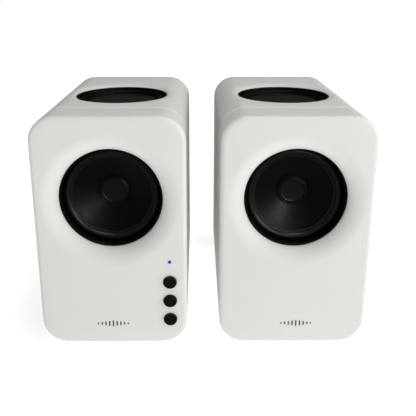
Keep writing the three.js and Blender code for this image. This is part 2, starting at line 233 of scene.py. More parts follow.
def rounded(profile, radius):
    """The closed profile with each corner cut by a small round of up to that radius."""
    steps = 3
    made = []
    count = len(profile)
    for i, corner in enumerate(profile):
        here = np.array(corner)
        before = np.array(profile[i - 1]) - here
        after = np.array(profile[(i + 1) % count]) - here
        reach = min(radius, np.linalg.norm(before) * 0.45, np.linalg.norm(after) * 0.45)
        if corner[0] < 1e-6 or reach < 0.02:
            made.append(corner)
            continue
        start = here + before / np.linalg.norm(before) * reach
        stop = here + after / np.linalg.norm(after) * reach
        for t in np.linspace(0, 1, steps + 1):
            made.append(tuple((1 - t) ** 2 * start + 2 * t * (1 - t) * here + t**2 * stop))
    return made


# ---- The cabinet's outline: each point is a centre and a direction, so that it insets evenly

def outline_points():
    """(centre, direction) round the rounded rectangle, from the middle of the base, and the range
    of its points that the top window takes."""
    half_x, half_z = WIDTH / 2 - CORNER, HEIGHT / 2 - CORNER
    middle = HEIGHT / 2
    corner_steps, short, tall = 16, 12, 56
    centres, directions = [], []

    def straight(start, stop, direction, steps):
        for t in np.arange(steps) / steps:
            centres.append(np.array(start) * (1 - t) + np.array(stop) * t)
            directions.append(np.array(direction, float))

    def corner(centre, first):
        for angle in np.radians(first + 90 * np.arange(corner_steps) / corner_steps):
            centres.append(np.array(centre, float))
            directions.append(np.array([math.cos(angle), math.sin(angle)]))

    low, high = middle - half_z, middle + half_z
    straight((0, low), (half_x, low), (0, -1), short)
    corner((half_x, low), -90)
    straight((half_x, low), (half_x, high), (1, 0), tall)
    corner((half_x, high), 0)
    straight((half_x, high), (-half_x, high), (0, 1), 2 * short)
    corner((-half_x, high), 90)
    straight((-half_x, high), (-half_x, low), (-1, 0), tall)
    corner((-half_x, low), 180)
    straight((-half_x, low), (0, low), (0, -1), short)
    top_start = short + corner_steps + tall
    margin = 4
    window = (top_start + margin, top_start + 2 * corner_steps + 2 * short - margin)
    return np.array(centres), np.array(directions), window


CENTRES, DIRECTIONS, WINDOW = outline_points()


def outline(inset, y):
    """The ring of the cabinet's outline, inset by that much, at depth y."""
    flat = CENTRES + DIRECTIONS * (CORNER - inset)
    return np.column_stack([flat[:, 0], np.full(len(flat), y), flat[:, 1]])


def aimed_circle(radius, y, target):
    """A circle round the driver's axis, with each point in the direction of the target ring's."""
    away = np.column_stack([target[:, 0], target[:, 2] - DRIVER_UP])
    away /= np.linalg.norm(away, axis=1)[:, None]
    return np.column_stack([away[:, 0] * radius, np.full(len(away), y), away[:, 1] * radius + DRIVER_UP])


def dish_profile(dish, steps=18):
    """(radius, depth) from the face to the opening: an ellipse that leaves the face level."""
    sweep = math.radians(dish["sweep"])
    across = (dish["outer"] - OPENING) / math.sin(sweep)
    deep = dish["depth"] / (1 - math.cos(sweep))
    angles = sweep * np.arange(steps + 1) / steps
    return [(dish["outer"] - across * math.sin(a), deep * (1 - math.cos(a))) for a in angles]


def dish_depth(dish, radius):
    """How deep the dish is at that radius."""
    known = sorted(dish_profile(dish, 60))
    return np.interp(radius, [r for r, _ in known], [d for _, d in known], right=0.0)


# ---- Front cover

def front_cover_rings():
    """Rings of the cover's section: up the throat, out over the bell-mouth and the flat face, round
    the front edge and back along the side, round the tongue, and in again behind the bell-mouth."""
    face = outline(FILLET, 0)
    flat_limit = WIDTH / 2 - FILLET - 0.4
    profile = [(r, y) for r, y in dish_profile(FRONT_DISH) if r < flat_limit]
    halfway = (BOSS_BACK + FRONT_DISH["depth"]) / 2
    throat = [aimed_circle(OPENING, y, face) for y in (BOSS_BACK, halfway)]
    bell_mouth = [aimed_circle(r, y, face) for r, y in reversed(profile)]
    widest = aimed_circle(profile[0][0], 0, face)
    flat = [widest * (1 - t) + face * t for t in (0.2, 0.4, 0.6, 0.8, 1)]
    edge = []
    for angle in np.radians(np.linspace(10, 90, 9)):
        edge.append(outline(FILLET * (1 - math.sin(angle)), FILLET * (1 - math.cos(angle))))
    for ring in flat + edge:
        away = np.hypot(ring[:, 0], ring[:, 2] - DRIVER_UP)
        ring[:, 1] += dish_depth(FRONT_DISH, away)
    for ring in bell_mouth + flat + edge:
        ring[:, 1] += CROWN * (ring[:, 0] / (WIDTH / 2)) ** 2
    side_rows = [(0, 10), (0, 18), (0, PARTING - 0.9), (0.08, PARTING - 0.35), (0.35, PARTING)]
    tongue = [(3.1, PARTING), (3.1, 31), (5.1, 31), (5.1, 20), (WALL, 19.6), (WALL, 4), (4, WALL)]
    around_back = [outline(inset, y) for inset, y in side_rows + tongue]
    behind = [aimed_circle(r, y, face) for r, y in ((47, 3.6), (45.5, 9), (44, BOSS_BACK))]
    return throat + bell_mouth + flat + edge + around_back + behind


def cut(target, cutter):
    """Takes the cutter out of the target, for good."""
    cutting = target.modifiers.new("cut", "BOOLEAN")
    cutting.operation = "DIFFERENCE"
    cutting.solver = "EXACT"
    cutting.object = cutter
    apply_modifiers(target)
    bpy.data.objects.remove(cutter)


def apply_modifiers(target):
    bpy.context.view_layer.update()
    evaluated = target.evaluated_get(bpy.context.evaluated_depsgraph_get())
    mesh = bpy.data.meshes.new_from_object(evaluated)
    target.modifiers.clear()
    old = target.data
    target.data = mesh
    bpy.data.meshes.remove(old)
    mesh.name = target.name


def hole_cutter(side, radius, x, z, front, back, flare=0.25):
    """A cutter for a round hole whose front edge is slightly broken."""
    profile = [(0, front - 1), (radius + flare, front - 1), (radius + flare, front)]
    profile += [(radius + flare * 0.3, front + flare * 0.3), (radius, front + flare)]
    profile += [(radius, back), (0, back)]
    return turned("cutter", side, at(x, z), profile, around=72)


def front_cover(side):
    rings = front_cover_rings()
    around = len(CENTRES)
    points = in_row(np.concatenate(rings), side)
    cover = new_object(f"{side}_front_cover_fine", points, loft_faces(len(rings), around, True))
    if side == "left":
        for up in BUTTONS.values():
            cut(cover, hole_cutter(side, BUTTON_RADIUS + BUTTON_GAP, CONTROL_X, up, 0, HOLE_DEPTH))
        led_hole = hole_cutter(side, LED_RADIUS + LED_GAP, CONTROL_X, LED_UP, 0, HOLE_DEPTH, 0.15)
        cut(cover, led_hole)
        shade(cover.data)
    finish_piece(cover, ROOT, "cabinet", plastic, f"{side}_front_cover")


# ---- Cabinet shell

def skin_surface(x, y, inset, dished):
    """Points on the top at x, y, with the dish in it if asked."""
    over = np.clip(np.abs(x) - (WIDTH / 2 - CORNER), 0, CORNER - inset - 1e-6)
    z = HEIGHT - CORNER + np.sqrt((CORNER - inset) ** 2 - over**2)
    if dished:
        z = z - dish_depth(TOP_DISH, np.hypot(x, y - RADIATOR_BACK))
    return np.column_stack([x, y, z])


def window_patch(boundary, inset, hole, dished):
    """Rings from a window's boundary, points of the loft in order, in to a round hole."""
    x, y = boundary[:, 0], boundary[:, 1]
    away = np.column_stack([x, y - RADIATOR_BACK])
    away /= np.linalg.norm(away, axis=1)[:, None]
    outer = TOP_DISH["outer"] + 0.5 if dished else hole + 2

    def round_ring(radius):
        return skin_surface(away[:, 0] * radius, away[:, 1] * radius + RADIATOR_BACK, inset, dished)

    flat_half = WIDTH / 2 - CORNER
    reach = CORNER - inset

    def along(value):
        over = np.clip((np.abs(value) - flat_half) / reach, 0, 1)
        return np.sign(value) * np.where(over > 0, flat_half + reach * np.arcsin(over), np.abs(value))

    def back_to_x(value):
        over = np.maximum(np.abs(value) - flat_half, 0) / reach
        return np.sign(value) * np.where(over > 0, flat_half + reach * np.sin(over), np.abs(value))

    first = round_ring(outer)
    rings = []
    for t in (0.2, 0.4, 0.6, 0.8):
        mixed = along(x) * (1 - t) + along(first[:, 0]) * t
        rings.append(skin_surface(back_to_x(mixed), y * (1 - t) + first[:, 1] * t, inset, dished))
    rings.append(first)
    if dished:
        rings += [round_ring(r) for r, _ in dish_profile(TOP_DISH)]
    else:
        rings.append(round_ring(hole))
    return rings


def cabinet_shell(side):
    """A closed loop of rings, outside and back inside, less a window in the top on each skin,
    where rings run in to the radiator's opening and join through it."""
    start = PARTING + SEAM
    half_window = 50
    lines = np.linspace(RADIATOR_BACK - half_window, RADIATOR_BACK + half_window, 31)
    seam_edge = [(0.95, start), (0.85, start + 0.1), (0.1, start + 0.85), (0, start + 1.1)]
    outside = seam_edge + [(0, y) for y in lines] + [(0, 140), (0, 152), (0, DEPTH - FILLET)]
    for angle in np.radians(np.linspace(10, 90, 9)):
        outside.append((FILLET * (1 - math.cos(angle)), DEPTH - FILLET * (1 - math.sin(angle))))
    rim = [(REAR_RIM - 0.5, DEPTH), (REAR_RIM - 0.15, DEPTH - 0.15), (REAR_RIM, DEPTH - 0.5)]
    rim += [(REAR_RIM, REAR_LIP["back"]), (10.5, REAR_LIP["back"]), (10.5, REAR_LIP["front"])]
    inside_back = [(WALL, y) for y in (REAR_LIP["front"], 152, 140)]
    inside = inside_back + [(WALL, y) for y in lines[::-1]]
    rows = outside + rim + inside
    around = len(CENTRES)
    points = [outline(inset, y) for inset, y in rows]
    faces = []
    first, last = WINDOW
    skins = []
    for low in (len(seam_edge), len(outside) + len(rim) + len(inside_back)):
        skins.append((low, low + len(lines) - 1))
    for n, (a, b, c, d) in enumerate(loft_faces(len(rows), around, closed=True)):
        row, column = divmod(n, around)
        if first <= column < last and any(low <= row < high for low, high in skins):
            continue
        faces.append((a, b, c, d))
    loops = []
    for (low, high), inset, dished in zip(skins, (0, WALL), (True, False)):
        rows_there = list(range(low, high + 1))
        if not dished:
            rows_there.reverse()
        edge = [(rows_there[0], k) for k in range(first, last)]
        edge += [(r, last) for r in rows_there[:-1]]
        edge += [(rows_there[-1], k) for k in range(last, first, -1)]
        edge += [(r, first) for r in rows_there[:0:-1]]
        boundary = np.array([points[r][k] for r, k in edge])
        loops.append([boundary] + window_patch(boundary, inset, OPENING + 6, dished))
    throat = loops[0][-1]
    away = np.column_stack([throat[:, 0], throat[:, 1] - RADIATOR_BACK]) / OPENING
    seat = []
    seat_up = np.full(len(away), HEIGHT - SEAT_DOWN)
    for radius in (OPENING, OPENING + 6):
        seat.append(np.column_stack([away * radius + (0, RADIATOR_BACK), seat_up]))
    patch = loops[0] + seat + loops[1][::-1]
    base = len(rows) * around
    faces += [tuple(base + v for v in f) for f in loft_faces(len(patch), len(throat), closed=False)]
    everything = np.concatenate(points + patch)
    shell = new_object(f"{side}_cabinet_shell_fine", in_row(everything, side), faces)
    for x, z in REAR_SCREWS:
        cut(shell, hole_cutter(side, 1.45, x, z, REAR_LIP["front"] - 1, REAR_LIP["back"] + 1, 0))
    shade(shell.data)
    finish_piece(shell, ROOT, "cabinet", plastic, f"{side}_cabinet_shell")


# ---- Rear cover, feet and screws

def sockets_of(side):
    return {name: s for name, s in SOCKETS.items() if side in s["sides"]}


def rear_cutter(side, radius, x, z, flare):
    """A cutter for a round hole through the rear cover, with its outer edge slightly broken."""
    front, back = REAR_PLATE
    profile = [(0, front - 1), (radius, front - 1), (radius, back - flare), (radius + flare, back)]
    profile += [(radius + flare, back + 1), (0, back + 1)]
    return turned("cutter", side, at(x, z), profile, around=64)


def stadium(half_x, half_z, radius):
    """Points (x, z) round a rounded rectangle."""
    steps = 10
    points = []
    for quarter, (sx, sz) in enumerate(((1, -1), (1, 1), (-1, 1), (-1, -1))):
        for angle in np.radians(-90 + 90 * quarter + 90 * np.arange(steps + 1) / steps):
            x = sx * (half_x - radius) + radius * math.cos(angle)
            points.append((x, sz * (half_z - radius) + radius * math.sin(angle)))
    return np.array(points)


def pad(name, place, shape, levels):
    """A flat piece: the shape's outline scaled in by each level's inset, at the level's height."""
    half_x, half_z, radius = shape
    rings = []
    for inset, y in levels:
        flat = stadium(half_x - inset, half_z - inset, max(radius - inset, 0.05))
        rings.append(np.column_stack([flat[:, 0], np.full(len(flat), y), flat[:, 1]]))
    around = len(rings[0])
    faces = loft_faces(len(rings), around, closed=False)
    faces.append(tuple(range(around)))
    faces.append(tuple((len(rings) - 1) * around + k for k in range(around))[::-1])
    side, move = place
    return new_object(name, in_row(move(np.concatenate(rings)), side), faces)


def rear_cover(side):
    front, back = REAR_PLATE
    gap = REAR_RIM + 0.3
    rows = [(gap, front), (gap, back - 0.4), (gap + 0.12, back - 0.12), (gap + 0.4, back)]
    rings = [outline(inset, y) for inset, y in rows]
    around = len(CENTRES)
    faces = loft_faces(len(rings), around, closed=False)
    faces.append(tuple(range(around)))
    faces.append(tuple((len(rings) - 1) * around + k for k in range(around))[::-1])
    cover = new_object(f"{side}_rear_cover_fine", in_row(np.concatenate(rings), side), faces)
    sockets = sockets_of(side)
    xs = [s["x"] for s in sockets.values()]
    panel = ((max(xs) - min(xs)) / 2 + 12, 11, 5)
    levels = [(1, back - 1.2), (1, back - 0.8), (0.6, back - 0.7), (0, back + 0.1), (0, back + 1)]
    place = (side, at((max(xs) + min(xs)) / 2, SOCKET_UP))
    cut(cover, pad("cutter", place, panel, levels))
    for x, z in REAR_SCREWS:
        cut(cover, rear_cutter(side, 1.7, x, z, 0.2))
    for socket in sockets.values():
        cut(cover, rear_cutter(side, socket["nose"] + 0.25, socket["x"], SOCKET_UP, 0))
    shade(cover.data)
    finish_piece(cover, ROOT, "cabinet", plastic, f"{side}_rear_cover")
    if side == "left":
        post_profile = rounded([(0, 151.9), (2.5, 151.9), (2.5, front), (0, front)], 0.3)
        for n, (x, z) in enumerate(BOARD_POSTS):
            post = turned(f"left_board_post_{n}", side, at(x, z), post_profile, 32)
            finish_piece(post, ROOT, "cabinet", plastic)


def feet(side):
    for name, back in (("front_foot", 17), ("rear_foot", 148)):
        def flat_down(points, back=back):
            x, y, z = np.asarray(points, float).T
            return np.column_stack([x, z + back, y - FOOT_HEIGHT])
        levels = [(0.5, 0), (0.15, 0.12), (0, 0.5), (0, FOOT_HEIGHT)]
        foot = pad(f"{side}_{name}_fine", (side, flat_down), (32, 4.5, 4.4), levels)
        finish_piece(foot, ROOT, "foot", rubber, f"{side}_{name}")


def rear_screws(side):
    under = REAR_PLATE[1] + 0.05
    radius, shank, edge = SCREW["head"], SCREW["shank"], under + SCREW["edge"]
    profile = [(0, 157.5), (shank, 157.5), (shank, under), (radius, under), (radius, edge)]
    for angle in np.radians(range(10, 90, 10)):
        profile.append((radius * math.cos(angle), edge + SCREW["crown"] * math.sin(angle)))
    profile.append((0, edge + SCREW["crown"]))
    long, narrow = SCREW["cross"]
    names = {(-1, 1): "upper_left", (1, 1): "upper_right", (-1, -1): "lower_left", (1, -1): "lower_right"}
    for x, z in REAR_SCREWS:
        where = names[(int(math.copysign(1, x)), int(math.copysign(1, z - HEIGHT / 2)))]
        node = f"{side}_rear_screw_{where}"
        screw = turned(f"{node}_fine", side, at(x, z), profile, 40)
        for half_x, half_z in ((long, narrow), (narrow, long)):
            levels = [(0, under + 0.7), (0, under + 3)]
            cut(screw, pad("cutter", (side, at(x, z)), (half_x, half_z, 0.12), levels))
        shade(screw.data)
        finish_piece(screw, ROOT, "steel", steel, node)


# ---- Driver and radiator

def trim_ring(side, name, place, front, seat, lip):
    """The ring that lines an opening: a thin sleeve with a rounded front lip and a flange behind."""
    sleeve = OPENING - 0.15
    inside = sleeve - 1.45
    flange = OPENING + 3
    profile = [(inside, front + lip), (inside + 0.25, front + 0.15), (inside + 0.8, front)]
    profile += [(sleeve - 0.25, front + 0.05), (sleeve, front + 0.4), (sleeve, seat + 0.3)]
    profile += [(flange, seat + 0.3), (flange, seat + 1.3), (inside, seat + 1.3)]
    ring = turned(f"{side}_{name}_fine", side, place, profile, 160)
    finish_piece(ring, ROOT, "trim", black_plastic, f"{side}_{name}")


def surround(side, name, place, level, axis_at):
    """A rubber half-roll, between the cabinet outside and the moving piece inside."""
    s = SURROUND
    inside = s["roll"] - s["skin"]
    under = level + s["skin"]
    outer_foot, inner_foot = s["middle"] + s["roll"], s["middle"] - s["roll"]
    profile = [(s["flange"], under), (s["flange"], level), (outer_foot + 0.7, level)]
    profile += [(outer_foot + 0.25, level - 0.08), (outer_foot + 0.03, level - 0.35)]
    profile += arc((s["middle"], level), s["roll"], -8, -172, 18)
    profile += [(inner_foot - 0.03, level - 0.35), (inner_foot - 0.25, level - 0.08)]
    profile += [(inner_foot - 0.7, level), (s["inner"] + 0.3, level), (s["inner"] + 0.05, level + 0.12)]
    profile += [(s["inner"], level + 0.35), (s["inner"], under - 0.05), (s["middle"] - inside, under)]
    profile += arc((s["middle"], level), inside, -180, 0, 14)
    profile += [(s["middle"] + inside, under)]
    roll = turned(f"{side}_{name}_fine", side, place, profile, 144, sharp=60)
    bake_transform(roll)
    hold_by_radius(roll, axis_at, name, outer_foot * MM, inner_foot * MM)
    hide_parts(f"{side}_{name}")
    # The radiator's roll takes the darker rubber, painted shade for the top recess.
    roll.data.materials.append(rubber() if name.startswith("driver") else rubber_painted_shade())


def hold_by_radius(roll, axis_at, name, outer, inner):
    """Works out how far each point would follow the moving piece by its distance from the axis; the
    result is not kept.
    """
    points = np.array([v.co for v in roll.data.vertices])
    across = (0, 2) if name.startswith("driver") else (0, 1)
    away = np.hypot(*(points[:, i] - axis_at[i] for i in across))
    share = np.clip((outer - away) / (outer - inner), 0, 1)
    share = share**2 * (3 - 2 * share)


def driver(side):
    level = BOSS_BACK + 1.6
    body = f"{side}_cone"
    axis_at = tuple(in_row(facing_front([(0, level, 0)]), side)[0])
    trim_ring(side, "driver_trim_ring", facing_front, FRONT_DISH["depth"], BOSS_BACK, 0.5)
    surround(side, "driver_surround", facing_front, level, axis_at)

    face = cone_face()
    cone_profile = [(CONE_RIM[0], 17.1)] + face[1:] + [(r, y + CONE_THICK) for r, y in face[::-1]]
    cone = turned(f"{side}_driver_cone_fine", side, facing_front, cone_profile, 144)
    finish_piece(cone, body, "paper", paper, f"{side}_driver_cone")

    bowl = [(9.2 * t, 24.4 - 0.6 * t**6) for t in np.linspace(0, 0.93, 10)]
    bowl += [(8.75, 23.62), (8.95, 23.3), (9.12, 22.9), (9.25, 22.6)]
    rim_round = [(9.45, 22.36), (9.7, 22.32), (9.95, 22.42), (10.15, 22.7), (10.3, 23.2), (10.35, 24.5)]
    back = [(9.8, 24.5), (9.6, 23.3)] + [(r, y + 0.55) for r, y in bowl[-2::-1]]
    cap = turned(f"{side}_driver_dust_cap_fine", side, facing_front, bowl + rim_round + back, 96, 60)
    finish_piece(cap, body, "dust_cap", cap_film, f"{side}_driver_dust_cap")

    bead = [(10.38, 23.95), (10.6, 24.08), (10.95, 24.36), (10.6, 24.52), (10.38, 24.52)]
    glue = turned(f"{side}_dust_cap_glue", side, facing_front, bead, 96)
    finish_piece(glue, body, "dust_cap", cap_film)

    winding = [(10.3, 34.5)]
    for n in range(18):
        winding += [(10.88, 34.6 + n * 0.5), (10.88, 34.9 + n * 0.5), (10.7, 35.02 + n * 0.5)]
    coil_profile = [(10.0, 25.2), (10.3, 25.2)] + winding + [(10.3, 43.5), (10.0, 43.5)]
    coil = turned(f"{side}_voice_coil_fine", side, facing_front, coil_profile, 64)
    finish_piece(coil, body, "coil", copper, f"{side}_voice_coil")

    still = {
        "driver_spider": (spider_profile(), "spider", cotton, 96),
        "magnet_top_plate": (washer(37, 41, 11.5, 27, 0.4), "steel", steel, 96),
        "magnet": (washer(41.3, 53, 14, 29, 0.8), "ferrite", ferrite, 96),
        "yoke": (yoke_profile(), "steel", steel, 96),
    }
    for name, (profile, slot, material, around) in still.items():
        piece = turned(f"{side}_{name}_fine", side, facing_front, profile, around)
        finish_piece(piece, ROOT, slot, material, f"{side}_{name}")
    basket(side)


def cone_face():
    """(radius, depth) down the cone's face from its rim, which bulges a little on the way."""
    face = []
    for t in np.linspace(0, 1, 17):
        down = t + CONE_BULGE * t * (1 - t)
        radius = CONE_RIM[0] + (CONE_NECK[0] - CONE_RIM[0]) * t
        face.append((radius, CONE_RIM[1] + (CONE_NECK[1] - CONE_RIM[1]) * down))
    return face


def washer(front, back, hole, radius, edge):
    return rounded([(hole, front), (radius, front), (radius, back), (hole, back)], edge)


def yoke_profile():
    return rounded([(0, 37.5), (9.4, 37.5), (9.4, 53.3), (27, 53.3), (27, 57.5), (0, 57.5)], 0.5)


def spider_profile():
    """A corrugated cloth disc from the coil to the basket's ledge, which its rim lies on."""
    radii = np.linspace(10.6, 22.6, 61)
    waves = 31.3 - 0.85 * np.sin((radii - 10.6) / 12 * 2 * math.pi * 5)
    front = list(zip(radii, waves)) + [(25.5, 31.3)]
    return front + [(r, y + 0.35) for r, y in front[::-1]]


def basket(side):
    """The driver's frame: a flange, four arms and the floor that holds the motor."""
    outline_there = [(43, 17.3), (43, 18.9), (38.5, 18.9), (30.5, 31.5), (28.3, 36.7), (12.5, 36.7)]
    outline_there += [(12.5, 35.4), (22.5, 35.4), (22.5, 31.9), (28.6, 31.9), (36.3, 18.7), (35.5, 17.3)]
    profile = rounded(outline_there, 0.5)
    frame_there = turned(f"{side}_driver_basket_fine", side, facing_front, profile, 96)
    for shape in ((60, 11, 3), (11, 60, 3)):
        levels = [(0, 21.5), (0, 30.5)]
        cut(frame_there, pad("cutter", (side, facing_front), shape, levels))
    shade(frame_there.data)
    finish_piece(frame_there, ROOT, "basket", black_paint, f"{side}_driver_basket")


def radiator(side):
    level = SEAT_DOWN + 1.6
    body = f"{side}_radiator"
    axis_at = tuple(in_row(facing_up([(0, level, 0)]), side)[0])
    trim_ring(side, "radiator_trim_ring", facing_up, TOP_DISH["depth"] + 0.1, SEAT_DOWN, 0.4)
    surround(side, "radiator_surround", facing_up, level, axis_at)

    plate = [(0, level), (26.6, level), (26.9, level + 0.1), (27.2, level + 0.9), (29.2, level + 0.9)]
    plate += [(29.2, level + 2.1), (0, level + 2.1)]
    disc = turned(f"{side}_radiator_diaphragm_fine", side, facing_up, rounded(plate, 0.2), 144)
    finish_piece(disc, body, "paper", paper, f"{side}_radiator_diaphragm")
    mass = rounded([(0, 8.6), (14, 8.6), (14, 13.6), (0, 13.6)], 0.5)
    weight = turned(f"{side}_radiator_weight_fine", side, facing_up, mass, 64)
    finish_piece(weight, body, "steel", steel, f"{side}_radiator_weight")
    ring = rounded([(41.5, 7.2), (41.5, 8.7), (37.5, 8.7), (36.5, 13.2), (34.8, 13.2), (34.8, 7.2)], 0.4)
    frame_there = turned(f"{side}_radiator_frame_fine", side, facing_up, ring, 96)
    finish_piece(frame_there, ROOT, "basket", black_paint, f"{side}_radiator_frame")


# ---- Controls, mark and sockets

def buttons():
    for name, up in BUTTONS.items():
        r = BUTTON_RADIUS
        crown = [(r * t, -1.2 + 0.3 * t**2) for t in (0, 0.2, 0.4, 0.6, 0.75, 0.86)]
        edge = [(r - 0.35, -0.9), (r - 0.15, -0.78), (r - 0.04, -0.6), (r, -0.35)]
        behind = [(r, 3.1), (5.7, 3.1), (5.7, 4.1), (2, 4.1), (2, 7), (0, 7)]
        button = turned(f"left_{name}_fine", "left", at(CONTROL_X, up), crown + edge + behind, 72)
        finish_piece(button, name, "button", button_plastic, f"left_{name}")


def status_light():
    r = LED_RADIUS
    lens_profile = [(0, -0.15), (r * 0.5, -0.12), (r * 0.85, 0), (r, 0.2), (r, 3.1), (1.9, 3.1)]
    lens_profile += [(1.9, 10.7), (0, 10.7)]
    lens = turned("left_led_lens_fine", "left", at(CONTROL_X, LED_UP), lens_profile, 48)
    finish_piece(lens, ROOT, "lens", blue_light, "left_led_lens")


def level_mark(side):
    """A plain printed mark low on the front: a row of level bars, low to high and back."""
    bars = (1.4, 2.2, 3.2, 4.2, 5.0, 4.2, 3.2, 2.2, 1.4)
    pitch, half = 2.7, 0.55
    for n, tall in enumerate(bars):
        x = (n - (len(bars) - 1) / 2) * pitch
        levels = [(0, -0.04), (0, 0.2)]
        place = (side, at(MARK_X[side] + x, 16.5))
        bar = pad(f"{side}_mark_bar_{n}", place, (half, tall / 2, half), levels)
        finish_piece(bar, ROOT, "trim", grey_ink)


def sockets(side):
    for name, s in sockets_of(side).items():
        nose, bore = s["nose"], s["bore"]
        barrel = [(0, 152), (4.8, 152), (4.8, 162.9), (nose, 162.9), (nose, SOCKET_BACK - 0.4)]
        barrel += [(nose - 0.4, SOCKET_BACK), (bore + 0.35, SOCKET_BACK), (bore, SOCKET_BACK - 0.35)]
        barrel += [(bore, 155.9), (0, 155.9)]
        piece = turned(f"{side}_{name}_fine", side, at(s["x"], SOCKET_UP), barrel, 64)
        finish_piece(piece, ROOT, "trim", black_plastic, f"{side}_{name}")
        if name == "power_inlet":
            pin = rounded([(0, 155), (1, 155), (1, 165.4), (0, 165.4)], 0.4)
            pin_there = turned(f"{side}_power_pin", side, at(s["x"], SOCKET_UP), pin, 32)
            finish_piece(pin_there, ROOT, "steel", steel)


# ---- Materials

MADE = {}


class Surface:
    """A Principled material in the making, with its textures in object coordinates, in metres."""

    def __init__(self, name, colour, roughness, metallic=0.0):
        self.material = bpy.data.materials.new(name)
        self.material.use_nodes = True
        self.tree = self.material.node_tree
        self.shader = self.tree.nodes["Principled BSDF"]
        self.shader.inputs["Base Color"].default_value = (*colour, 1)
        self.shader.inputs["Roughness"].default_value = roughness
        self.shader.inputs["Metallic"].default_value = metallic
        self.material.diffuse_color = (*colour, 1)
        self.colour = colour
        self.roughness = roughness
        self.height = None
        self.coordinates = self.tree.nodes.new("ShaderNodeTexCoord").outputs["Object"]

    def node(self, kind, **values):
        made = self.tree.nodes.new(kind)
        for key, value in values.items():
            setattr(made, key, value)
        return made

    def link(self, start, end):
        self.tree.links.new(start, end)

    def noise(self, size, detail):
        """Noise whose features are about that many millimetres across."""
        texture = self.node("ShaderNodeTexNoise")
        texture.inputs["Scale"].default_value = 1000 / size
        texture.inputs["Detail"].default_value = detail
        self.link(self.coordinates, texture.inputs["Vector"])
        return texture.outputs["Fac"]

    def spread(self, value, low, high):
        """The value, which is about 0.3 to 0.7, spread from low to high."""
        scaled = self.node("ShaderNodeMapRange")
        scaled.inputs["From Min"].default_value = 0.3
        scaled.inputs["From Max"].default_value = 0.7
        scaled.inputs["To Min"].default_value = low
        scaled.inputs["To Max"].default_value = high
        self.link(value, scaled.inputs["Value"])
        return scaled.outputs["Result"]

    def vary_colour(self, value, darker, lighter):
        """Mixes the colour between two multiples of itself by the value."""
        mix = self.node("ShaderNodeMix", data_type="RGBA")
        mix.inputs["A"].default_value = (*(c * darker for c in self.colour), 1)
        mix.inputs["B"].default_value = (*(min(c * lighter, 1) for c in self.colour), 1)
        self.link(self.spread(value, 0, 1), mix.inputs["Factor"])
        self.link(mix.outputs["Result"], self.shader.inputs["Base Color"])

    def vary_roughness(self, value, spread):
        low, high = self.roughness - spread, self.roughness + spread
        self.link(self.spread(value, low, high), self.shader.inputs["Roughness"])

    def emboss(self, value, depth):
        """Adds a bump that many millimetres deep."""
        bump = self.node("ShaderNodeBump")
        bump.inputs["Distance"].default_value = depth * MM
        bump.inputs["Strength"].default_value = 1.0
        self.link(value, bump.inputs["Height"])
        if self.height is not None:
            self.link(self.height, bump.inputs["Normal"])
        self.height = bump.outputs["Normal"]
        self.link(self.height, self.shader.inputs["Normal"])


def cached(build):
    """Builds a material the first time it is asked for, and gives the same one after that."""
    def get():
        if build.__name__ not in MADE:
            MADE[build.__name__] = build()
        return MADE[build.__name__]
    return get


@cached
def plastic():
    """Matt white moulded plastic with a fine spark-eroded grain."""
    s = Surface("white_plastic", (0.80, 0.81, 0.775), 0.52)
    s.shader.inputs["Specular IOR Level"].default_value = 0.4
    s.vary_colour(s.noise(60, 2), 0.985, 1.0)
    s.vary_roughness(s.noise(14, 4), 0.05)
    s.emboss(s.noise(0.55, 2), 0.012)
    s.emboss(s.noise(2.4, 3), 0.008)
    return s.material


@cached
def black_plastic():
    s = Surface("black_plastic", (0.0012, 0.0012, 0.0013), 0.40)
    s.shader.inputs["Specular IOR Level"].default_value = 0.25
    s.vary_roughness(s.noise(5, 3), 0.06)
    s.emboss(s.noise(0.5, 2), 0.008)
    return s.material


@cached
def button_plastic():
    s = Surface("button_plastic", (0.0045, 0.0045, 0.0048), 0.38)
    s.shader.inputs["Specular IOR Level"].default_value = 0.35
    s.vary_roughness(s.noise(2, 3), 0.05)
    s.emboss(s.noise(0.35, 2), 0.006)
    return s.material


@cached
def rubber():
    s = Surface("black_rubber", (0.002, 0.002, 0.0021), 0.42)
    s.shader.inputs["Specular IOR Level"].default_value = 1.0
    s.vary_colour(s.noise(9, 4), 0.8, 1.25)
    s.vary_roughness(s.noise(3, 4), 0.07)
    s.emboss(s.noise(0.6, 3), 0.012)
    return s.material


@cached
def rubber_painted_shade():
    """The radiator's rubber: a darker, duller copy of the driver's, its darker colour painted shade for
    the recess under the top.
    """
    s = Surface("rubber_painted_shade", (0.0012, 0.0012, 0.0013), 0.55)
    s.shader.inputs["Specular IOR Level"].default_value = 0.12
    s.vary_colour(s.noise(9, 4), 0.8, 1.25)
    s.vary_roughness(s.noise(3, 4), 0.07)
    s.emboss(s.noise(0.6, 3), 0.012)
    return s.material


@cached
def paper():
    """Pressed paper pulp, dyed dark: short fibres laid every way."""
    s = Surface("dark_paper", (0.0008, 0.0008, 0.0009), 0.42)
    s.shader.inputs["Specular IOR Level"].default_value = 0.5
    s.vary_colour(s.noise(1.1, 5), 0.75, 1.3)
    s.vary_roughness(s.noise(1.6, 4), 0.07)
    s.emboss(s.noise(0.9, 5), 0.03)
    s.emboss(s.noise(7, 3), 0.05)
    return s.material


@cached
def cap_film():
    s = Surface("dark_cap", (0.0018, 0.0018, 0.002), 0.38)
    s.shader.inputs["Specular IOR Level"].default_value = 1.0
    s.vary_roughness(s.noise(1.5, 3), 0.05)
    s.emboss(s.noise(0.8, 3), 0.01)
    return s.material


@cached
def blue_light():
    s = Surface("blue_light", (0.004, 0.025, 0.32), 0.25)
    s.shader.inputs["Emission Color"].default_value = (0.002, 0.07, 1.0, 1)
    s.shader.inputs["Emission Strength"].default_value = 0.45
    s.vary_roughness(s.noise(1, 2), 0.03)
    return s.material


@cached
def grey_ink():
    s = Surface("grey_ink", (0.08, 0.08, 0.085), 0.55)
    s.vary_colour(s.noise(0.5, 3), 0.9, 1.1)
    return s.material


